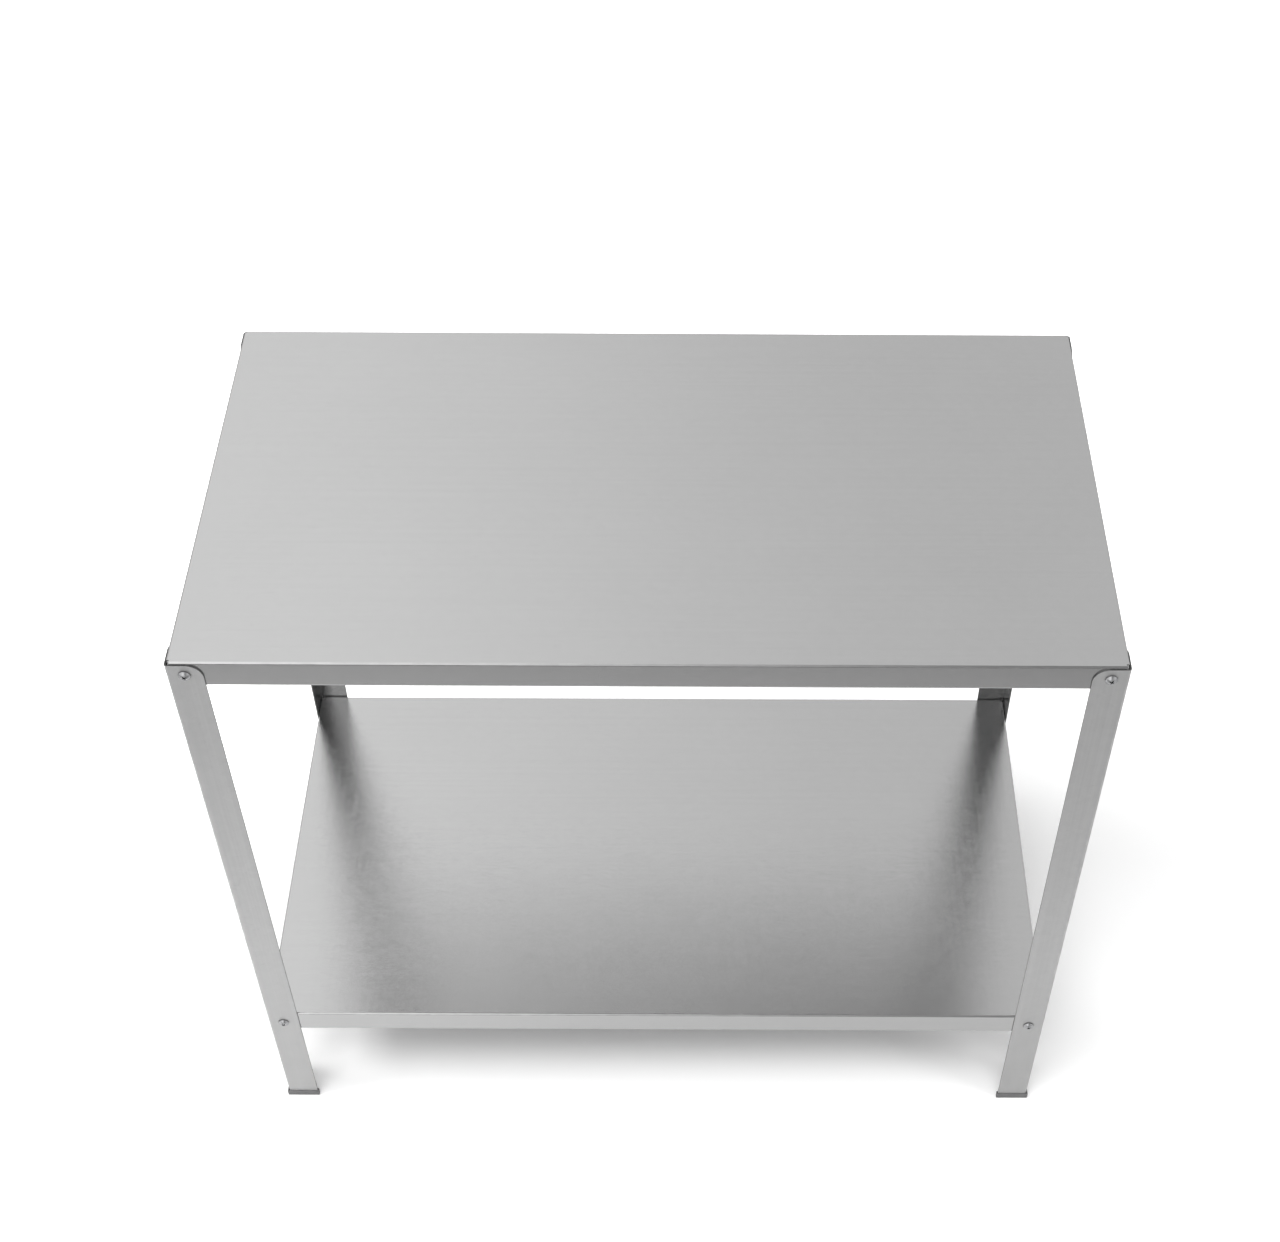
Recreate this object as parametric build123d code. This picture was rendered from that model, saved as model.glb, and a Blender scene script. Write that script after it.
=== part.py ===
from build123d import *
import os

# Overall sizes in millimetres: X is the width, Y the depth, Z rises from the floor, the front faces -Y
table_width = 900.0
table_depth = 490.0
table_height = 785.0
shelf_height = 180.0

# Folded trays: the worktop and the lower shelf are the same pressing
tray_sheet = 1.0
tray_bend = 1.5
skirt_height = 32.0
lip_depth = 12.0
relief_margin = 1.0
mitre_gap = 1.2

# Hat-section stiffener under each deck
hat_sheet = 0.8
hat_bend = 1.5
hat_height = 18.0
hat_crown = 36.0
hat_mouth = 46.0
hat_flange = 14.0
hat_end_gap = 3.0

# Angle legs
leg_sheet = 1.5
leg_bend = 1.5
leg_flange = 35.0
leg_top_drop = 3.0
leg_top_radius = 16.0

# Plastic shoes on the legs' lower ends
shoe_wall = 1.4
shoe_floor = 3.0
shoe_height = 9.0
shoe_clearance = 0.1
shoe_chamfer = 0.8

# Pan-head screws with a cross recess
screw_diameter = 6.0
screw_length = 12.0
head_diameter = 12.0
head_height = 4.2
head_rim = 1.0
recess_span = 6.4
recess_slot = 1.5
recess_depth = 2.2

# Flange nuts behind the skirts
nut_across_flats = 10.0
nut_height = 6.0
nut_flange_diameter = 14.0
nut_flange_height = 1.4

# Fits
hole_clearance = 0.6
thread_clearance = 0.1

# Sizes that follow from the ones above
tray_width = table_width - 2 * leg_sheet
tray_depth = table_depth - 2 * leg_sheet
tray_outer_bend = tray_bend + tray_sheet
corner_relief = tray_outer_bend + relief_margin
hat_length = tray_width - 2 * tray_sheet - 2 * hat_end_gap
leg_length = table_height - leg_top_drop - shoe_floor
clamped_sheets = leg_sheet + tray_sheet
hole_diameter = screw_diameter + hole_clearance
screw_inset = leg_flange / 2
screw_drop = skirt_height / 2

# Deck heights of the two trays, and the mirror planes that carry the front left corner to each corner
decks = {"worktop": table_height, "lower_shelf": shelf_height}
rows = {"front": [], "back": [Plane.XZ]}
sides = {"left": [], "right": [Plane.YZ]}
corners = {f"{row}_{side}": rows[row] + sides[side] for row in rows for side in sides}

upward = (Align.CENTER, Align.CENTER, Align.MIN)
downward = (Align.CENTER, Align.CENTER, Align.MAX)


def mirrored(shape, planes):
    for plane in planes:
        shape = mirror(shape, about=plane)
    return shape


# Place of the screw at a deck's front left corner: Z points out of the leg's front flange
def screw_seat(deck):
    centre = (screw_inset - table_width / 2, -table_depth / 2, deck - screw_drop)
    return Plane(centre, x_dir=(1, 0, 0), z_dir=(0, -1, 0)).location


# Drill through the leg and the skirt at a deck's front left corner
def screw_drill(deck):
    return screw_seat(deck) * Cylinder(hole_diameter / 2, 4 * clamped_sheets)


# Block hanging from Z 0, with its upper and lower edges rounded as a folded sheet's are
def folded_block(width, depth, height, bend):
    block = Box(width, depth, height, align=downward)
    level_edges = block.edges().filter_by(Axis.Z, reverse=True)
    return fillet(level_edges, bend)


# Tray folded from one sheet: deck, four skirts and their return lips, open and mitred at the corners
def folded_tray(deck):
    outside = folded_block(tray_width, tray_depth, skirt_height, tray_outer_bend)
    inside = folded_block(
        tray_width - 2 * tray_sheet,
        tray_depth - 2 * tray_sheet,
        skirt_height - 2 * tray_sheet,
        tray_bend,
    )
    mouth = Box(tray_width - 2 * lip_depth, tray_depth - 2 * lip_depth, skirt_height)
    tray = outside - Pos(Z=-tray_sheet) * inside - Pos(Z=-skirt_height) * mouth
    tray = Pos(Z=deck) * tray

    relief = Box(2 * corner_relief, 2 * corner_relief, 4 * skirt_height)
    mitre = Pos(Z=-skirt_height) * Rot(Z=45) * Box(4 * lip_depth, mitre_gap, 2 * tray_outer_bend)
    corner_cut = Pos(-tray_width / 2, -tray_depth / 2, deck) * (relief + mitre) + screw_drill(deck)
    for planes in corners.values():
        tray -= mirrored(corner_cut, planes)
    return tray


# Hat section that lies lengthwise with both flanges flat under the deck
def hat_stiffener(deck):
    line = FilletPolyline(
        (-hat_mouth / 2 - hat_flange, 0),
        (-hat_mouth / 2, 0),
        (-hat_crown / 2, -hat_height),
        (hat_crown / 2, -hat_height),
        (hat_mouth / 2, 0),
        (hat_mouth / 2 + hat_flange, 0),
        radius=hat_bend,
    )
    section = make_face(offset(line, hat_sheet, side=Side.RIGHT))
    hat = extrude(Plane.YZ * section, hat_length / 2, both=True)
    return Pos(Z=deck - tray_sheet) * hat


# Angle section of the front left leg, with its outer corner at the table's corner
def leg_section():
    line = FilletPolyline((leg_flange, 0), (0, 0), (0, leg_flange), radius=leg_bend + leg_sheet)
    section = make_face(offset(line, leg_sheet, side=Side.RIGHT))
    return Pos(-table_width / 2, -table_depth / 2) * section


# Leg from its shoe to just under the worktop, with the free top corners rounded
def angle_leg():
    leg = Pos(Z=shoe_floor) * extrude(leg_section(), leg_length)
    top_edges = leg.faces().sort_by(Axis.Z)[-1].edges()
    free_ends = [top_edges.sort_by(Axis.X)[-1], top_edges.sort_by(Axis.Y)[-1]]
    leg = fillet(free_ends, leg_top_radius)
    for deck in decks.values():
        leg -= screw_drill(deck)
    return leg


# Angle-shaped shoe with a pocket that the leg's lower end stands in
def foot_shoe():
    outline = offset(leg_section(), shoe_clearance + shoe_wall, kind=Kind.INTERSECTION)
    pocket = offset(leg_section(), shoe_clearance, kind=Kind.INTERSECTION)
    shoe = extrude(outline, shoe_height)
    shoe = chamfer(shoe.faces().sort_by(Axis.Z)[0].edges(), shoe_chamfer)
    return shoe - Pos(Z=shoe_floor) * extrude(pocket, shoe_height)


# Screw along -Z, its domed head seated on Z 0
def pan_screw():
    dome_height = head_height - head_rim
    dome_radius = ((head_diameter / 2) ** 2 + dome_height ** 2) / (2 * dome_height)
    head = Cylinder(head_diameter / 2, head_height, align=upward)
    head &= Pos(Z=head_height - dome_radius) * Sphere(dome_radius)
    slot = Box(recess_span, recess_slot, 2 * recess_depth)
    recess = Pos(Z=head_height) * (slot + Rot(Z=90) * slot)
    return head + Cylinder(screw_diameter / 2, screw_length, align=downward) - recess


# Nut along -Z behind the clamped sheets, its flange against the skirt's inner face
def flange_nut():
    hexagon = extrude(RegularPolygon(nut_across_flats / 2, 6, major_radius=False), nut_height)
    flange = Cone(nut_flange_diameter / 2, nut_across_flats / 2, nut_flange_height, align=upward)
    bore = Cylinder((screw_diameter + thread_clearance) / 2, 4 * nut_height)
    nut = hexagon + flange - bore
    return Pos(Z=-clamped_sheets) * Rot(X=180) * nut


# The two like fasteners in one row of a deck
def fastener_pair(piece, deck, row):
    seated = screw_seat(deck) * piece
    return Compound([mirrored(seated, rows[row] + planes) for planes in sides.values()])


os.makedirs("parts", exist_ok=True)

screw = pan_screw()
nut = flange_nut()
for tray_name, deck in decks.items():
    export_step(folded_tray(deck), f"parts/{tray_name}_tray.step")
    export_step(hat_stiffener(deck), f"parts/{tray_name}_stiffener.step")
    for row in rows:
        export_step(fastener_pair(screw, deck, row), f"parts/{tray_name}_screws_{row}.step")
        export_step(fastener_pair(nut, deck, row), f"parts/{tray_name}_nuts_{row}.step")

leg = angle_leg()
shoe = foot_shoe()
for corner, planes in corners.items():
    export_step(mirrored(leg, planes), f"parts/leg_{corner}.step")
    export_step(mirrored(shoe, planes), f"parts/foot_{corner}.step")
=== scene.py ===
import math
import bpy
from mathutils import Matrix, Vector


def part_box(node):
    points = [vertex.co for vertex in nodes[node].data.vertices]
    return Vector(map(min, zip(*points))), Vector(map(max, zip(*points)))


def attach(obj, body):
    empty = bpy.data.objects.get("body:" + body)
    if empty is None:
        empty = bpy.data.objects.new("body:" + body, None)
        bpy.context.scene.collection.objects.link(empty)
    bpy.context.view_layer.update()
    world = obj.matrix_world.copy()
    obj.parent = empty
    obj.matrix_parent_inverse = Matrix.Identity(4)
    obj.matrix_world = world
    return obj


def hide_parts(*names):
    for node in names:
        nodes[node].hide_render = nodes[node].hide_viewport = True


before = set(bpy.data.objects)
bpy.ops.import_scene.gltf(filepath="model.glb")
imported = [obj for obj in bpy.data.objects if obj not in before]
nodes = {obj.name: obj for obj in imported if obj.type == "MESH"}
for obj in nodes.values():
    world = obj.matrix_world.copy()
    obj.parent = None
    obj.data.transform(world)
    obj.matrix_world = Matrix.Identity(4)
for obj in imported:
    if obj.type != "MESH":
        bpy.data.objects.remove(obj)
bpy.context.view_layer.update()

deckNames = ("worktop", "lower_shelf")
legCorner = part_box("leg_back_right")[1]  # outer corner of the legs, from the middle of the table

closeTogether = 1e-6  # metres, for merging doubles
cutTogether = 1e-7  # metres, for a cut that passes close to points
startPlane = 0.001  # metres, merged into the first point of a line
alongAxis = 0.9  # least part of a normal that counts as looking along an axis
middleTone = 0.5  # half way between a finish's dark and light


# Selecting and editing, as by hand

def deselectAll():
    if bpy.context.object and bpy.context.object.mode != "OBJECT":
        bpy.ops.object.mode_set(mode="OBJECT")
    bpy.ops.object.select_all(action="DESELECT")


def takeUp(piece):
    deselectAll()
    piece.select_set(True)
    bpy.context.view_layer.objects.active = piece


def editAll(piece):
    takeUp(piece)
    bpy.ops.object.mode_set(mode="EDIT")
    bpy.ops.mesh.select_mode(type="VERT")
    bpy.ops.mesh.select_all(action="SELECT")


# picks the faces that pass the test, in face mode, ready for the next operator
def pickFaces(piece, test):
    takeUp(piece)
    bpy.ops.object.mode_set(mode="EDIT")
    bpy.ops.mesh.select_mode(type="FACE")
    bpy.ops.mesh.select_all(action="DESELECT")
    bpy.ops.object.mode_set(mode="OBJECT")
    for face in piece.data.polygons:
        face.select = bool(test(face))
    bpy.ops.object.mode_set(mode="EDIT")


def closeUp(piece):
    editAll(piece)
    bpy.ops.mesh.remove_doubles(threshold=closeTogether)
    bpy.ops.mesh.normals_make_consistent(inside=False)
    bpy.ops.object.mode_set(mode="OBJECT")


def applyModifier(piece, kind, **settings):
    takeUp(piece)
    modifier = piece.modifiers.new(kind.title(), kind)
    for key, value in settings.items():
        setattr(modifier, key, value)
    bpy.ops.object.modifier_apply(modifier=modifier.name)


# one vertex drawn out into a line of points
def drawLine(name, points):
    deselectAll()
    bpy.ops.mesh.primitive_plane_add(size=startPlane, location=points[0])
    piece = bpy.context.object
    piece.name = name
    bpy.ops.object.transform_apply(location=True)
    editAll(piece)
    bpy.ops.mesh.merge(type="CENTER")
    for last, point in zip(points, points[1:]):
        step = Vector(point) - Vector(last)
        bpy.ops.mesh.extrude_region_move(TRANSFORM_OT_translate={"value": step})
    bpy.ops.object.mode_set(mode="OBJECT")
    return piece


# outline of (radius, height) points turned once about Z
def turnOutline(name, outline, steps):
    piece = drawLine(name, [(radius, 0, height) for radius, height in outline])
    editAll(piece)
    bpy.ops.mesh.spin(steps=steps, angle=math.tau, center=(0, 0, 0), axis=(0, 0, 1))
    closeUp(piece)
    return piece


# joins, cuts or trims a piece by a tool, which is used up
def combine(piece, tool, operation):
    if not tool.data.materials:
        tool.data.materials.append(piece.data.materials[0])
    applyModifier(
        piece, "BOOLEAN", object=tool, operation=operation, solver="EXACT", material_mode="TRANSFER",
    )
    bpy.data.objects.remove(tool)


def turned(degrees, axis):
    return Matrix.Rotation(math.radians(degrees), 4, axis)


# a copy with its own mesh, its place applied to that mesh
def placeCopy(master, name, place):
    takeUp(master)
    bpy.ops.object.duplicate(linked=False)
    piece = bpy.context.object
    piece.name = piece.data.name = name
    piece.matrix_world = place
    bpy.ops.object.transform_apply(location=True, rotation=True, scale=True)
    return piece


# Shader maths: a socket that takes sums

class Wire:
    def __init__(self, socket):
        self.socket = socket

    def node(self, kind, settings, inputs, output=0):
        tree = self.socket.id_data
        made = tree.nodes.new(kind)
        for key, value in settings.items():
            setattr(made, key, value)
        for key, value in inputs.items():
            if isinstance(value, Wire):
                tree.links.new(value.socket, made.inputs[key])
            else:
                made.inputs[key].default_value = value
        return Wire(made.outputs[output])

    def math(self, operation, first, second=0.0):
        return self.node("ShaderNodeMath", {"operation": operation}, {0: first, 1: second})

    def __add__(self, other):
        return self.math("ADD", self, other)

    def __radd__(self, other):
        return self.math("ADD", other, self)

    def __sub__(self, other):
        return self.math("SUBTRACT", self, other)

    def __rsub__(self, other):
        return self.math("SUBTRACT", other, self)

    def __mul__(self, other):
        return self.math("MULTIPLY", self, other)

    def __rmul__(self, other):
        return self.math("MULTIPLY", other, self)

    def __gt__(self, other):
        return self.math("GREATER_THAN", self, other)

    def __lt__(self, other):
        return self.math("LESS_THAN", self, other)

    def __abs__(self):
        return self.math("ABSOLUTE", self)

    # kept from 0 to 1
    def held(self):
        return self.node("ShaderNodeClamp", {}, {"Value": self})

    # 0 at low, 1 at high, soft between
    def ease(self, low, high):
        return self.node(
            "ShaderNodeMapRange",
            {"interpolation_type": "SMOOTHSTEP"},
            {"Value": self, "From Min": low, "From Max": high},
        )

    # the number low where this is 0, high where it is 1
    def span(self, low, high):
        return low + (high - low) * self

    # the colour low where this is 0, high where it is 1
    def between(self, low, high):
        return self.node("ShaderNodeMix", {"data_type": "RGBA"}, {0: self, 6: low, 7: high}, 2)

    def axes(self):
        split = self.node("ShaderNodeSeparateXYZ", {}, {0: self})
        return [Wire(part) for part in split.socket.node.outputs]

    def stretched(self, scale):
        return self.node("ShaderNodeMapping", {}, {"Vector": self, "Scale": scale})

    def noise(self, scale, detail=2.0, roughness=0.5):
        return self.node(
            "ShaderNodeTexNoise", {},
            {"Vector": self, "Scale": scale, "Detail": detail, "Roughness": roughness},
        )

    # one random grey for each crystal cell
    def crystals(self, scale):
        cell = self.node(
            "ShaderNodeTexVoronoi", {"feature": "F1"}, {"Vector": self, "Scale": scale}, "Color",
        )
        return cell.node("ShaderNodeSeparateColor", {}, {0: cell})

    # noise or crystals about their middle, so that a gain leaves the average alone
    def swing(self):
        return self - 0.5

    # height in metres
    def bump(self):
        fine = {"Strength": 1.0, "Distance": 1.0, "Filter Width": 0.02, "Height": self}
        return self.node("ShaderNodeBump", {}, fine)


# a node with no inputs, where an expression starts
def source(tree, kind, output):
    return Wire(tree.nodes.new(kind).outputs[output])


# a start and the patterns that vary it, each times its gain
def varied(start, patterns, gains):
    for name, gain in gains.items():
        start = start + gain * patterns[name]
    return start


# a new material, its Principled shader and Object coordinates
def newFinish(name, metallic):
    finish = bpy.data.materials.new(name)
    finish.use_nodes = True
    shader = finish.node_tree.nodes["Principled BSDF"]
    shader.inputs["Metallic"].default_value = metallic
    place = source(finish.node_tree, "ShaderNodeTexCoord", "Object")
    return finish, shader, place


def feed(shader, **wires):
    for key, wire in wires.items():
        shader.id_data.links.new(wire.socket, shader.inputs[key.replace("_", " ")])


# Galvanized sheet: satin face with fine rolling lines, duller reverse, and on the legs cut edges, painted
# shade on the inner faces and tops, and patches darker and duller towards the floor

traySheet = {
    "faceDark": (0.59, 0.59, 0.59, 1),
    "faceLight": (0.65, 0.65, 0.65, 1),
    "faceGains": {"drift": 0.5, "streaks": 0.4, "crystals": 0.12, "scuffs": -0.2},
    "reverseAndShadeDark": (0.57, 0.57, 0.57, 1),
    "reverseAndShadeLight": (0.66, 0.66, 0.66, 1),
    "reverseGains": {"drift": 0.8, "crystals": 0.5},
    "roughness": 0.125,
    "reverseRoughness": 0.18,
    "roughnessGains": {"drift": 0.05, "streaks": 0.04, "crystals": 0.03, "scuffs": 0.03, "rubbed": -0.03},
    "lineScale": (60, 8000, 8000),  # drawn out along X
    "lineHeight": 2.9e-5,  # metres
    "streakWidth": 25,  # in lines
    "waveScale": 5.0,
    "waveHeight": 4.0e-5,  # metres
    "driftScale": 7.0,
    "crystalScale": 140.0,
    "scuffScale": (90, 260, 180),
    "scuffLimits": (0.60, 0.72),  # noise where scuffs begin and are full
    "rubbed": (0.66, 0.66, 0.66, 1),
    "rubScale": 45.0,
    "rubLimits": (0.40, 0.62),
}
legSheet = dict(
    traySheet,
    faceDark=(0.685, 0.685, 0.685, 1),
    faceLight=(0.785, 0.785, 0.785, 1),
    faceGains=dict(traySheet["faceGains"], streaks=1.0, crystals=0.25),
    # painted shade: the legs' reverse, the inner faces of each angle, is made darker as the shade under
    # the table
    reverseAndShadeDark=(0.37, 0.37, 0.37, 1),
    reverseAndShadeLight=(0.46, 0.46, 0.46, 1),
    roughness=0.60,
    lineScale=(8000, 8000, 60),  # drawn out along Z
    rubbed=(0.84, 0.84, 0.84, 1),
    # dark raw cut edges, darkened further as painted shade of the gaps between legs and trays
    cutEdgeAndShade=(0.22, 0.22, 0.22, 1),
    cutRoughness=0.25,  # added to the sheet's
    sheetDepth=0.0016,  # metres in from a leg's outer faces, just past its sheet
    bendDepth=0.004,  # metres in, past the bend at its corner
    # patches that are darker and duller towards the floor
    lowDulling=(0.635, 0.635, 0.633, 1),
    lowDullingRoughness=0.06,  # added to the sheet's
    lowDullingHeight=(0.0, 0.38),  # metres above the floor, from full to none
    lowDullingCover=(0.72, 0.86),  # least and most
    lowDullingScale=(70, 70, 30),
    lowDullingLimits=(0.30, 0.70),
)
# what the parts of a surface normal tell about a sheet
sheetNormals = {
    "bendSlope": (0.08, 0.97),  # least and most of Z on a level bend
    "bendCorner": 0.12,  # least of X times Y on an upright bend
    "inward": -0.05,  # along the way out from the table's middle, in metres
    "downward": -0.5,  # most of Z on an underside
    "cutSide": 0.5,  # most of X or Y square to a flange, at its free edge
    "cutTop": 0.3,  # least of Z on a leg's top
}


# free edges of the legs' two flanges and their tops, painted dark as raw cut edges and as painted shade
# of the gaps between legs and trays
def legCutsAndShade(place, facing, look):
    x, y = (abs(axis) for axis in place.axes()[:2])
    nx, ny, nz = facing.axes()
    sheet, bend = look["sheetDepth"], look["bendDepth"]
    cutSide = sheetNormals["cutSide"]
    onFront = (y > legCorner.y - sheet) * (x < legCorner.x - bend) * (abs(ny) < cutSide)
    onSide = (x > legCorner.x - sheet) * (y < legCorner.y - bend) * (abs(nx) < cutSide)
    return (onFront + onSide + (nz > sheetNormals["cutTop"])).held()


# patches low on the legs, darker and duller towards the floor
def legLowDulling(place, look):
    height = place.axes()[2]
    patches = place.stretched(look["lowDullingScale"]).noise(1.0, detail=4.0).ease(*look["lowDullingLimits"])
    return (1 - height.ease(*look["lowDullingHeight"])) * patches.span(*look["lowDullingCover"])


def rubbedBends(place, facing, look):
    nx, ny, nz = facing.axes()
    slope = abs(nz)
    low, high = sheetNormals["bendSlope"]
    bends = ((slope > low) * (slope < high) + (abs(nx * ny) > sheetNormals["bendCorner"])).held()
    return bends * place.noise(look["rubScale"], detail=4.0, roughness=0.6).ease(*look["rubLimits"])


def sheetFinish(name, look, isLeg):
    finish, shader, place = newFinish(name, metallic=1.0)
    facing = source(finish.node_tree, "ShaderNodeNewGeometry", "Normal")
    x, y, _ = place.axes()
    nx, ny, nz = facing.axes()
    lines = place.stretched(look["lineScale"]).noise(1.0, detail=1.0)
    waves = place.noise(look["waveScale"], detail=1.0)
    streakScale = [scale / look["streakWidth"] for scale in look["lineScale"]]
    scuffs = place.stretched(look["scuffScale"]).noise(1.0, detail=4.0, roughness=0.65)
    rubbed = rubbedBends(place, facing, look)
    patterns = {
        "drift": place.noise(look["driftScale"], detail=3.0).swing(),
        "streaks": place.stretched(streakScale).noise(1.0, detail=3.0).swing(),
        "crystals": place.crystals(look["crystalScale"]).swing(),
        "scuffs": scuffs.ease(*look["scuffLimits"]),
        "rubbed": rubbed,
    }
    inward = (x * nx + y * ny) < sheetNormals["inward"]  # sides that look into the table
    reverse = (inward + (nz < sheetNormals["downward"])).held()
    faceTone = varied(middleTone, patterns, look["faceGains"]).held()
    reverseTone = varied(middleTone, patterns, look["reverseGains"]).held()
    face = rubbed.between(faceTone.between(look["faceDark"], look["faceLight"]), look["rubbed"])
    # on the legs this reverse colour is painted shade
    back = reverseTone.between(look["reverseAndShadeDark"], look["reverseAndShadeLight"])
    colour = reverse.between(face, back)
    roughness = reverse.span(look["roughness"], look["reverseRoughness"])
    roughness = varied(roughness, patterns, look["roughnessGains"])
    if isLeg:
        # darker and duller in patches towards the floor
        lowDulling = legLowDulling(place, look) * (1 - reverse)
        # cut edges and tops painted dark, partly as painted shade
        edge = legCutsAndShade(place, facing, look)
        colour = edge.between(lowDulling.between(colour, look["lowDulling"]), look["cutEdgeAndShade"])
        roughness = roughness + look["cutRoughness"] * edge + look["lowDullingRoughness"] * lowDulling
    height = lines * look["lineHeight"] + waves * look["waveHeight"]
    feed(shader, Base_Color=colour, Roughness=roughness, Normal=height.bump())
    return finish


trayFinish = sheetFinish("satin_zinc_tray", traySheet, isLeg=False)
legFinish = sheetFinish("satin_zinc_leg", legSheet, isLeg=True)
for name, node in nodes.items():
    if name.endswith(("_tray", "_stiffener")):
        node.material_slots[0].material = trayFinish
    elif name.startswith("leg_"):
        node.material_slots[0].material = legFinish
print("sheet: finishes on trays, stiffeners and legs")


# Bright zinc for the fasteners, with painted contact shade where a screw's head meets its leg, and
# painted shade in its recess

brightZinc = {
    "dark": (0.48, 0.485, 0.495, 1),
    "light": (0.66, 0.665, 0.675, 1),
    "toneGains": {"cloud": 1.2},
    "roughness": 0.28,
    "roughnessGains": {"cloud": 0.16, "scuffs": 0.08, "contactShade": 0.2},
    "cloudScale": 600.0,
    "scuffScale": 2600.0,
    "scuffHeight": 1.2e-5,  # metres
    # painted contact shade around the head's rim, where it meets the leg
    "contactShade": (0.05, 0.05, 0.052, 1),
    "contactShadeFades": (0.0002, 0.0016),  # metres out from the legs' faces
    "contactShadeStarts": -0.0008,  # metres, inside the screw's hole
}
# painted shade for the faces of the cross recess
shadedRecessZinc = dict(
    brightZinc,
    dark=(0.05, 0.05, 0.052, 1),
    light=(0.12, 0.12, 0.125, 1),
    roughness=0.45,
)


def zincFinish(name, look):
    finish, shader, place = newFinish(name, metallic=1.0)
    cloud = place.noise(look["cloudScale"], detail=3.0)
    scuffs = place.noise(look["scuffScale"])
    outward = abs(place.axes()[1]) - legCorner.y
    # painted contact shade at the head's rim, next to the leg's face
    contactShade = (outward > look["contactShadeStarts"]) * (1 - outward.ease(*look["contactShadeFades"]))
    patterns = {"cloud": cloud.swing(), "scuffs": scuffs.swing(), "contactShade": contactShade}
    tone = varied(middleTone, patterns, look["toneGains"]).held()
    feed(
        shader,
        Base_Color=contactShade.between(tone.between(look["dark"], look["light"]), look["contactShade"]),
        Roughness=varied(look["roughness"], patterns, look["roughnessGains"]),
        Normal=(scuffs * look["scuffHeight"]).bump(),
    )
    return finish


zincBright = zincFinish("bright_zinc", brightZinc)
zincRecessShade = zincFinish("zinc_recess_painted_shade", shadedRecessZinc)
print("zinc: finishes for heads, nuts and recesses")


# Moulded grey plastic for the shoes, scuffed near the floor

shoePlastic = {
    "dark": (0.12, 0.12, 0.122, 1),
    "light": (0.19, 0.19, 0.192, 1),
    "tone": 0.45,
    "toneGains": {"cloud": 0.8, "scuffs": 0.5},
    "roughness": 0.52,
    "roughnessGains": {"grain": 0.2, "scuffs": 0.12},
    "cloudScale": 120.0,
    "grainScale": 3800.0,
    "grainHeight": 3.5e-5,  # metres
    "scuffScale": 900.0,
    "scuffLimits": (0.45, 0.62),
    "scuffsFade": (0.0005, 0.004),  # metres above the floor
}


def plasticFinish(name, look):
    finish, shader, place = newFinish(name, metallic=0.0)
    height = place.axes()[2]
    grain = place.noise(look["grainScale"], detail=1.0)
    scuffs = place.noise(look["scuffScale"], detail=3.0).ease(*look["scuffLimits"])
    patterns = {
        "cloud": place.noise(look["cloudScale"], detail=3.0).swing(),
        "grain": grain.swing(),
        "scuffs": (1 - height.ease(*look["scuffsFade"])) * scuffs,
    }
    tone = varied(look["tone"], patterns, look["toneGains"]).held()
    feed(
        shader,
        Base_Color=tone.between(look["dark"], look["light"]),
        Roughness=varied(look["roughness"], patterns, look["roughnessGains"]),
        Normal=(grain * look["grainHeight"]).bump(),
    )
    return finish


plasticGrey = plasticFinish("moulded_grey_plastic", shoePlastic)
print("plastic: finish for the shoes")


# Pan-head screw, seated on Z 0 with its thread along -Z

panScrew = {
    "headRadius": 0.00598,
    "headHeight": 0.0041,
    "domeSteps": 8,
    "rim": 0.0009,
    "rimRound": 0.0003,
    "shoulder": (0.3, 0.5),  # in from the rim and up, in shares of its rounding
    "neckRadius": 0.00280,
    "shankRadius": 0.00298,
    "rootRadius": 0.00250,
    "length": 0.0119,
    "pitch": 0.0010,
    "threadStart": 0.4,  # pitches below the head
    "threadCrest": (0.44, 0.56),  # shares of the pitch
    "spareTurns": 2,  # for the cuts at both ends
    "cutsMiss": (0.01, 0.007),  # pitches from the thread's own points, so that the cuts close
    "recessSpan": 0.0062,
    "recessSlot": 0.0014,
    "recessDepth": 0.0022,
    "recessTaper": 0.6,
    "steps": 48,
    "smooth": 32,  # degrees
}


def screwHead(size):
    rim, top, radius = size["rim"], size["headHeight"], size["headRadius"]
    dome = top - rim
    ball = (radius ** 2 + dome ** 2) / (2 * dome)
    reach = math.asin(radius / ball)
    outline = []
    for step in range(size["domeSteps"] + 1):
        angle = reach * step / size["domeSteps"]
        outline.append((ball * math.sin(angle), top - ball * (1 - math.cos(angle))))
    inset = size["rimRound"]
    shoulderIn, shoulderUp = size["shoulder"]
    outline[-1] = (radius - shoulderIn * inset, rim + shoulderUp * inset)
    outline += [(radius, rim), (radius, inset), (radius - inset, 0), (size["neckRadius"], 0)]
    outline += [(size["neckRadius"], -size["pitch"]), (0, -size["pitch"])]
    return turnOutline("screwHead", outline, size["steps"])


def crossCutter(size):
    slot, depth, taper = size["recessSlot"], size["recessDepth"], size["recessTaper"]
    deselectAll()
    bpy.ops.mesh.primitive_cube_add(size=1, location=(0, 0, size["headHeight"]))
    cutter = bpy.context.object
    cutter.scale = (slot, slot, 2 * depth)
    bpy.ops.object.transform_apply(location=True, scale=True)
    arm = (size["recessSpan"] - slot) / 2
    for side in (Vector((1, 0, 0)), Vector((-1, 0, 0)), Vector((0, 1, 0)), Vector((0, -1, 0))):
        middle = side * slot / 2 + Vector((0, 0, size["headHeight"]))
        pickFaces(cutter, lambda face: (face.center - middle).length < closeTogether)
        bpy.ops.mesh.extrude_region_move(TRANSFORM_OT_translate={"value": side * arm})
    floor = size["headHeight"] - depth
    pickFaces(cutter, lambda face: face.center.z < floor + closeTogether)
    bpy.ops.transform.resize(value=(taper, taper, 1), center_override=(0, 0, floor))
    closeUp(cutter)
    # the recess faces take the painted shade
    cutter.data.materials.append(zincRecessShade)
    return cutter


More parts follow.
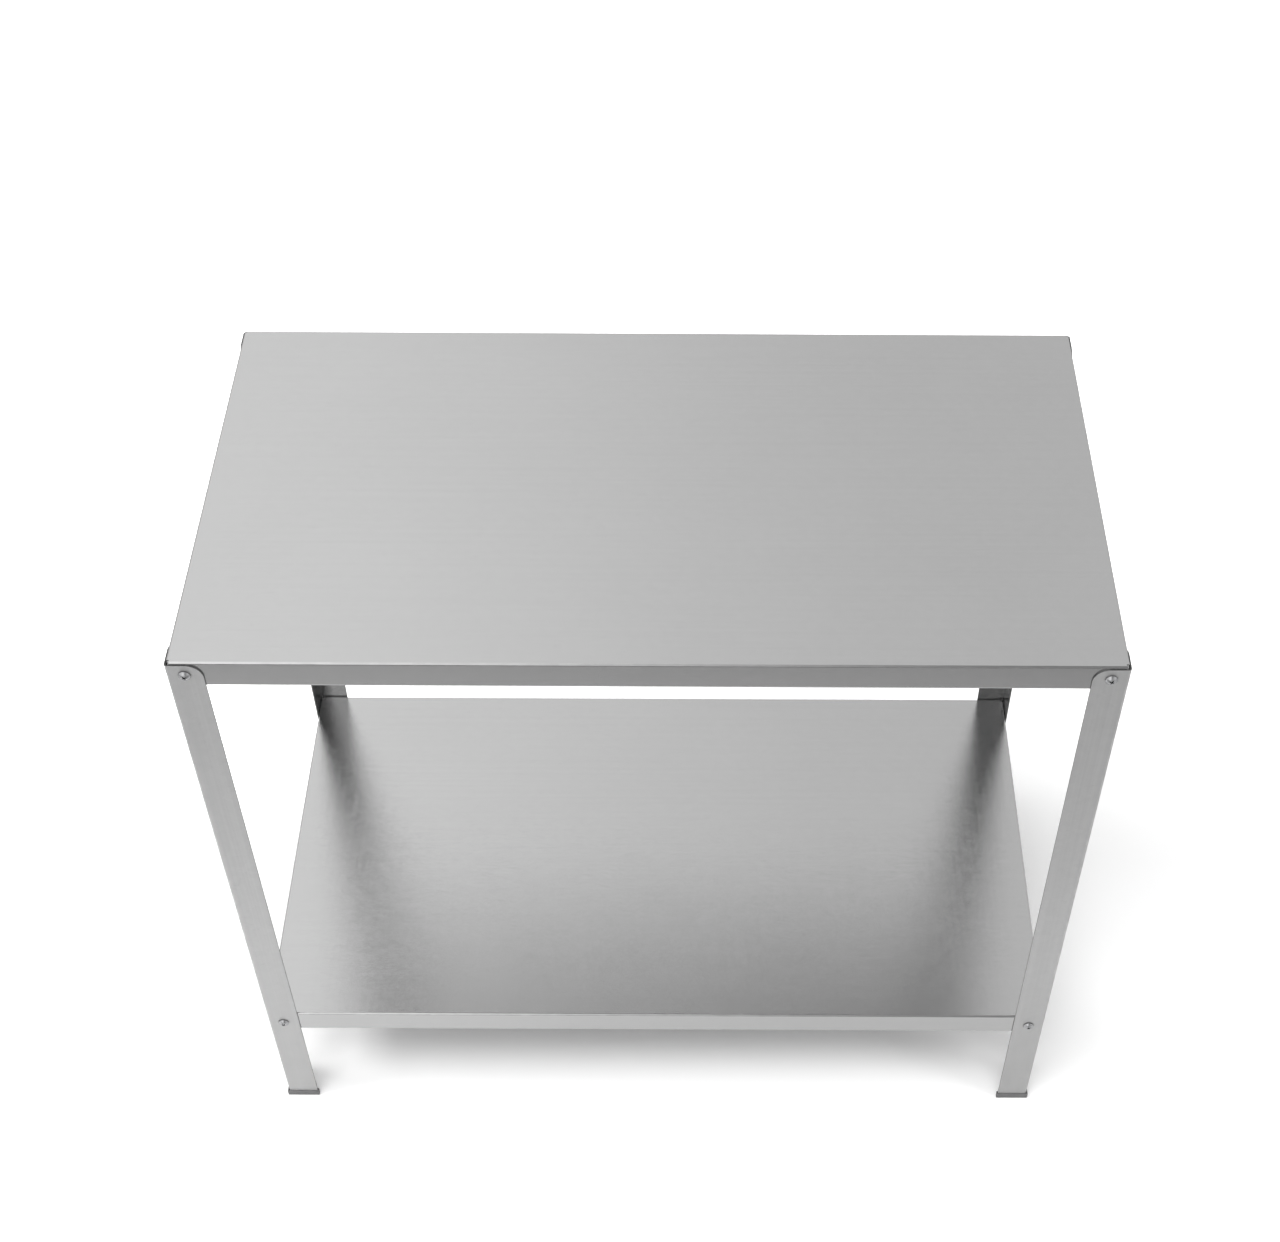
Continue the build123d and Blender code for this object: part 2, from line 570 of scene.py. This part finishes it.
def threadedShank(size):
    root, crest, pitch = size["rootRadius"], size["shankRadius"], size["pitch"]
    top = -size["threadStart"] * pitch
    crestStart, crestEnd = size["threadCrest"]
    tooth = [(root, 0), (crest, crestStart), (crest, crestEnd), (root, 1)]
    # the first turn lies a pitch too high, and the upper cut takes it off
    shank = drawLine("screwShank", [(radius, 0, top - drop * pitch + pitch) for radius, drop in tooth])
    applyModifier(
        shank, "SCREW", angle=math.tau, screw_offset=-pitch, axis="Z",
        iterations=int(size["length"] / pitch) + size["spareTurns"],
        steps=size["steps"] // 2, render_steps=size["steps"] // 2,
        use_merge_vertices=True, merge_threshold=closeTogether,
    )
    closeUp(shank)
    topMiss, endMiss = size["cutsMiss"]
    for end, outside in ((top - topMiss * pitch, 1), (endMiss * pitch - size["length"], -1)):
        editAll(shank)
        bpy.ops.mesh.bisect(
            plane_co=(0, 0, end), plane_no=(0, 0, outside),
            use_fill=True, clear_outer=True, threshold=cutTogether,
        )
    closeUp(shank)
    return shank


def buildScrew(size):
    screw = screwHead(size)
    screw.data.materials.append(zincBright)
    combine(screw, crossCutter(size), "DIFFERENCE")
    combine(screw, threadedShank(size), "UNION")
    closeUp(screw)
    bpy.ops.object.shade_smooth_by_angle(angle=math.radians(size["smooth"]))
    return screw


# Flange nut, its flange on Z 0 and its hexagon along +Z

flangeNut = {
    "sides": 6,
    "acrossFlats": 0.0099,
    "height": 0.0059,
    "crown": 0.96,  # radius of the flat top, in shares of half the width across flats
    "crownSlope": 30,  # degrees
    "flangeRadius": 0.0069,
    "flangeEdge": 0.0006,
    "flangeRound": 0.0002,
    "flangeRise": 0.00015,
    "flangeHeight": 0.0013,
    "collar": (1.02, 0.8),  # where the flange meets the hexagon and ends inside it, in the same shares
    "collarRise": 0.0003,
    "boreRadius": 0.00305,
    "countersink": 0.00345,
    "overshoot": 0.001,  # how far the cutters pass the nut
    "steps": 48,
    "smooth": 28,  # degrees
}


def nutChamfer(size, flat, corner):
    height = size["height"]
    crown = flat * size["crown"]
    above = height + size["overshoot"]
    slope = math.tan(math.radians(size["crownSlope"]))
    outline = [(0, -height), (crown + corner, -height), (crown + corner, height - slope * corner)]
    outline += [(crown, height), (crown, above), (0, above)]
    return turnOutline("nutChamfer", outline, size["steps"])


def nutFlange(size, flat):
    rim, edge, inset = size["flangeRadius"], size["flangeEdge"], size["flangeRound"]
    meets, ends = size["collar"]
    top = size["flangeHeight"] + size["collarRise"]
    outline = [(0, 0), (rim - inset, 0), (rim, inset), (rim, edge)]
    outline += [(rim - inset, edge + size["flangeRise"]), (flat * meets, size["flangeHeight"])]
    outline += [(flat * ends, top), (0, top)]
    return turnOutline("nutFlange", outline, size["steps"])


def nutDrill(size):
    bore, height, past = size["boreRadius"], size["height"], size["overshoot"]
    lead = size["countersink"] - bore
    mouth = size["countersink"] + past
    outline = [(0, -past), (mouth, -past), (bore, lead), (bore, height - lead)]
    outline += [(mouth, height + past), (0, height + past)]
    return turnOutline("nutDrill", outline, size["steps"])


def buildNut(size):
    flat, height = size["acrossFlats"] / 2, size["height"]
    corner = flat / math.cos(math.pi / size["sides"])
    deselectAll()
    bpy.ops.mesh.primitive_cylinder_add(
        vertices=size["sides"], radius=corner, depth=height, location=(0, 0, height / 2),
        end_fill_type="NGON",
    )
    nut = bpy.context.object
    nut.name = "flangeNut"
    bpy.ops.object.transform_apply(location=True, rotation=True, scale=True)
    nut.data.materials.append(zincBright)
    combine(nut, nutChamfer(size, flat, corner), "INTERSECT")
    combine(nut, nutFlange(size, flat), "UNION")
    combine(nut, nutDrill(size), "DIFFERENCE")
    closeUp(nut)
    bpy.ops.object.shade_smooth_by_angle(angle=math.radians(size["smooth"]))
    return nut


# turn of each screw's cross and of its nut, in degrees
fastenerTurns = {
    "worktop_front_left": (28, 10),
    "worktop_front_right": (64, 41),
    "worktop_back_left": (12, 25),
    "worktop_back_right": (77, 3),
    "lower_shelf_front_left": (47, 52),
    "lower_shelf_front_right": (35, 18),
    "lower_shelf_back_left": (5, 33),
    "lower_shelf_back_right": (58, 47),
}

screwMaster = buildScrew(panScrew)
nutMaster = buildNut(flangeNut)
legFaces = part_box("leg_front_left")[0].y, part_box("leg_back_left")[1].y
for deck in deckNames:
    for row, outward, legFace in (("front", -1, legFaces[0]), ("back", 1, legFaces[1])):
        low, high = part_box(f"{deck}_screws_{row}")
        nutLow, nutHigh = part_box(f"{deck}_nuts_{row}")
        nutSeat = nutLow.y if outward < 0 else nutHigh.y
        headRadius = (high.z - low.z) / 2
        middle = (low.z + high.z) / 2
        for side, across in (("left", low.x + headRadius), ("right", high.x - headRadius)):
            crossTurn, nutTurn = fastenerTurns[f"{deck}_{row}_{side}"]
            seat = Matrix.Translation((across, legFace, middle)) @ turned(-90 * outward, "X")
            screw = placeCopy(screwMaster, f"{deck}_screw_{row}_{side}", seat @ turned(crossTurn, "Z"))
            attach(screw, "root")
            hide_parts(f"{deck}_screws_{row}")
            seat = Matrix.Translation((across, nutSeat, middle)) @ turned(90 * outward, "X")
            nut = placeCopy(nutMaster, f"{deck}_nut_{row}_{side}", seat @ turned(nutTurn, "Z"))
            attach(nut, "root")
            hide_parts(f"{deck}_nuts_{row}")
for master in (screwMaster, nutMaster):
    print(master.name, len(master.data.polygons), "faces")
    bpy.data.objects.remove(master)
print("fasteners: screws and nuts in place")


# Moulded shoe under each leg, modelled at the front left

legShoe = {
    "wall": 0.0014,
    "pocket": 0.0017,  # the leg's sheet with its clearance
    "floor": 0.003,
    "soleRound": 0.0012,
    "soleSegments": 4,
    "edgeRound": 0.0005,
    "edgeSegments": 3,
    "flatWithin": 1,  # degrees, for clearing needless edges
    "smooth": 40,  # degrees
}


def buildShoe(size):
    low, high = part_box("foot_front_left")
    span = high - low
    arm = 2 * size["wall"] + size["pocket"]
    middle = (low + high) / 2
    deselectAll()
    bpy.ops.mesh.primitive_cube_add(size=1, location=(middle.x, low.y + arm / 2, middle.z))
    shoe = bpy.context.object
    shoe.name = "legShoe"
    shoe.scale = (span.x, arm, span.z)
    bpy.ops.object.transform_apply(location=True, scale=True)
    # the second arm grows out of the first one's side, at the corner
    editAll(shoe)
    bpy.ops.mesh.bisect(plane_co=(low.x + arm, 0, 0), plane_no=(1, 0, 0))
    pickFaces(shoe, lambda face: face.normal.y > alongAxis and face.center.x < low.x + arm)
    bpy.ops.mesh.extrude_region_move(TRANSFORM_OT_translate={"value": (0, span.y - arm, 0)})
    # pocket
    pickFaces(shoe, lambda face: face.normal.z > alongAxis)
    bpy.ops.mesh.inset(thickness=size["wall"], use_even_offset=True)
    bpy.ops.mesh.extrude_region_move(TRANSFORM_OT_translate={"value": (0, 0, size["floor"] - span.z)})
    closeUp(shoe)
    editAll(shoe)
    bpy.ops.mesh.dissolve_limited(angle_limit=math.radians(size["flatWithin"]))
    closeUp(shoe)
    # rounded sole, then the other edges
    pickFaces(shoe, lambda face: face.normal.z < -alongAxis)
    bpy.ops.mesh.bevel(offset=size["soleRound"], segments=size["soleSegments"], affect="EDGES")
    applyModifier(
        shoe, "BEVEL", width=size["edgeRound"], segments=size["edgeSegments"],
        limit_method="ANGLE", harden_normals=False,
    )
    closeUp(shoe)
    bpy.ops.object.shade_smooth_by_angle(angle=math.radians(size["smooth"]))
    shoe.data.materials.append(plasticGrey)
    return shoe


shoeMaster = buildShoe(legShoe)
for row, sy in (("front", 1), ("back", -1)):
    for side, sx in (("left", 1), ("right", -1)):
        shoe = placeCopy(shoeMaster, f"shoe_{row}_{side}", Matrix.Diagonal((sx, sy, 1, 1)))
        if sx * sy < 0:
            closeUp(shoe)  # a mirrored copy is inside out
        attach(shoe, "root")
        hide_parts(f"foot_{row}_{side}")
print("shoes:", len(shoeMaster.data.polygons), "faces each")
bpy.data.objects.remove(shoeMaster)


# Spot-weld dimples along the stiffeners' flanges

spotWeld = {
    "radius": 0.0032,
    "rise": 0.00018,
    # out from the middle and down, in shares of the radius and the rise
    "profile": ((0, 0.35), (0.5, 0.4), (0.68, 1), (0.82, 0.9), (1, 0)),
    "sunk": 0.0001,  # into the flange
    "steps": 20,
    "smooth": 50,  # degrees
    "count": 11,
    "reach": 0.41,  # from the middle to the last weld
    "lane": 0.030,  # from the middle to each row
    "sheet": 0.0008,
}


def buildWeld(size):
    radius, rise, sunk = size["radius"], size["rise"], size["sunk"]
    outline = [(out * radius, -down * rise) for out, down in size["profile"]]
    weld = turnOutline("spotWeld", outline + [(radius, sunk), (0, sunk)], size["steps"])
    bpy.ops.object.shade_smooth_by_angle(angle=math.radians(size["smooth"]))
    weld.data.materials.append(trayFinish)
    return weld


weldMaster = buildWeld(spotWeld)
for deck in deckNames:
    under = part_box(f"{deck}_stiffener")[1].z - spotWeld["sheet"]
    welds = []
    for lane in (-1, 1):
        for step in range(spotWeld["count"]):
            across = spotWeld["reach"] * (2 * step / (spotWeld["count"] - 1) - 1)
            spot = Matrix.Translation((across, lane * spotWeld["lane"], under))
            welds.append(placeCopy(weldMaster, f"{deck}_weld", spot))
    deselectAll()
    for weld in welds:
        weld.select_set(True)
    bpy.context.view_layer.objects.active = welds[0]
    bpy.ops.object.join()
    row = welds[0]
    row.name = row.data.name = f"{deck}_spot_welds"
    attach(row, "root")
bpy.data.objects.remove(weldMaster)
print("welds: in place under both decks")


# Studio floor: white to the camera, greys painted as a pool of light for the metal to mirror, one plain
# tone for the rest

studioFloor = {
    "half": 9.0,  # metres
    "plain": (0.80, 0.80, 0.80, 1),
    # mirrored greys, painted as a pool of light, in front of the table, near it, behind it and far from
    # it
    "front": 0.13,
    "near": 0.59,
    "back": 0.74,
    "far": 0.45,
    "frontFades": (-1.25, -0.45),  # metres in Y
    "backFades": (0.10, 0.50),
    "farFront": (-1.7, -2.6),
    "farBack": (1.0, 1.6),
    "farAside": (0.85, 1.4),  # metres in X, to either side
    # painted light: the mirrored floor is lighter to the left than to the right
    "nearAcross": (1.10, 0.93),  # shares at the left and right
    "backAcross": (1.64, 0.78),
    "acrossFades": (-1.1, 1.1),  # metres in X
    # seen whites close to the table and away from it
    "seen": (1.02, 1.02, 1.02, 1),
    "seenAway": (1.70, 1.70, 1.70, 1),
    "awayFades": (0.6, 2.2),  # square of the distance
}


def floorFinish(look):
    finish = bpy.data.materials.new("pale_floor")
    finish.use_nodes = True
    tree = finish.node_tree
    tree.nodes.remove(tree.nodes["Principled BSDF"])
    place = source(tree, "ShaderNodeTexCoord", "Object")
    camera = source(tree, "ShaderNodeLightPath", "Is Camera Ray")
    through = source(tree, "ShaderNodeLightPath", "Is Transmission Ray")
    glossy = source(tree, "ShaderNodeLightPath", "Is Glossy Ray")
    x, y, _ = place.axes()
    behind = y.ease(*look["backFades"])
    across = x.ease(*look["acrossFades"])
    front = y.ease(*look["frontFades"]).span(look["front"], look["near"])
    front = front * across.span(*look["nearAcross"])
    back = look["back"] * across.span(*look["backAcross"])
    far = y.ease(*look["farFront"]) + y.ease(*look["farBack"]) + abs(x).ease(*look["farAside"])
    grey = far.held().span(behind.span(front, back), look["far"])
    grey = grey.node("ShaderNodeCombineColor", {}, {"Red": grey, "Green": grey, "Blue": grey})
    away = (behind + (x * x + y * y).ease(*look["awayFades"])).held()
    seen = away.between(look["seen"], look["seenAway"])
    mirrored = glossy.between(look["plain"], grey)
    colour = (camera + through).held().between(mirrored, seen)
    paper = place.node("ShaderNodeBsdfDiffuse", {}, {"Color": colour})
    # clear to a camera below it, so that the underside shows
    below = source(tree, "ShaderNodeNewGeometry", "Backfacing") * camera
    clear = place.node("ShaderNodeBsdfTransparent", {}, {})
    shown = place.node("ShaderNodeMixShader", {}, {0: below, 1: paper, 2: clear})
    tree.links.new(shown.socket, tree.nodes["Material Output"].inputs["Surface"])
    return finish


deselectAll()
bpy.ops.mesh.primitive_plane_add(size=2 * studioFloor["half"], location=(0, 0, 0))
floor = bpy.context.object
floor.name = "studio_floor"
floor.data.materials.append(floorFinish(studioFloor))


# Studio walls: white to the camera, two plain walls that darken to the right for the metal to mirror

studioWalls = {
    "back": (0.71, 1.0),  # right and left
    "backFades": (0.15, -0.27),  # in parts of a direction, here X
    "backFoot": 0.93,  # share lower down
    "backRises": (0.60, 0.75),  # in Z
    "front": (0.28, 1.20),
    "frontFades": (0.17, -0.25),
    "frontEnd": 0.45,  # added at the far right
    "frontEndFades": (0.28, 0.7),
    "meet": (-0.25, 0.15),  # in Y
    "farLeftDrop": 0.30,
    "farLeftFades": (-0.35, -0.75),
}


def studioWorld(look):
    world = bpy.data.worlds.new("studio")
    bpy.context.scene.world = world
    world.use_nodes = True
    tree = world.node_tree
    background = tree.nodes["Background"]
    background.inputs["Color"].default_value = (1, 1, 1, 1)
    camera = source(tree, "ShaderNodeLightPath", "Is Camera Ray")
    x, y, z = source(tree, "ShaderNodeTexCoord", "Generated").axes()
    back = x.ease(*look["backFades"]).span(*look["back"])
    back = back * z.ease(*look["backRises"]).span(look["backFoot"], 1)
    front = x.ease(*look["frontFades"]).span(*look["front"])
    front = front + look["frontEnd"] * x.ease(*look["frontEndFades"])
    walls = y.ease(*look["meet"]).span(front, back)
    walls = walls * (1 - look["farLeftDrop"] * x.ease(*look["farLeftFades"]))
    tree.links.new(camera.span(walls, 1).socket, background.inputs["Strength"])


studioWorld(studioWalls)
print("studio: floor and walls set")


# Softboxes for the floor and the plastic, with place, size in metres and power of each

softboxes = {
    "top": ((-0.2, -1.1, 2.6), (2.2, 0.8), 38.0),
    "left": ((-1.6, -0.3, 2.0), (0.6, 0.6), 20.0),
    "right": ((1.9, -0.9, 1.6), (0.5, 0.5), 7.0),
}
boxesAimAt = Vector((0.0, 0.0, 0.3))

for name, (place, size, power) in softboxes.items():
    bpy.ops.object.light_add(type="AREA", location=place)
    softbox = bpy.context.object
    softbox.name = f"softbox_{name}"
    softbox.data.shape = "RECTANGLE"
    softbox.data.size, softbox.data.size_y = size
    softbox.data.energy = power
    softbox.visible_glossy = False  # the metal mirrors only walls, floor and table
    softbox.rotation_euler = (boxesAimAt - Vector(place)).to_track_quat("-Z", "Y").to_euler()
print("light:", len(softboxes), "softboxes")


# Camera at the photograph's angle

photoCamera = {
    "place": (0.0461, -1.4812, 2.1582),
    "yaw": 0.123,  # degrees, to the right
    "pitch": 48.889,  # down
    "roll": 0.357,
    "lens": 56.04,  # millimetres
    "sensor": 36.0,
    "shift": (-0.0471, 0.0595),
}

bpy.ops.object.camera_add(location=photoCamera["place"])
camera = bpy.context.object
camera.name = "photo_camera"
turn = turned(-photoCamera["yaw"], "Z")
tilt = turned(90 - photoCamera["pitch"], "X")
roll = turned(photoCamera["roll"], "Z")
camera.rotation_euler = (turn @ tilt @ roll).to_euler()
camera.data.lens = photoCamera["lens"]
camera.data.sensor_width = photoCamera["sensor"]
camera.data.shift_x, camera.data.shift_y = photoCamera["shift"]
bpy.context.scene.camera = camera
bpy.context.scene.view_settings.view_transform = "Standard"
print("camera: set")
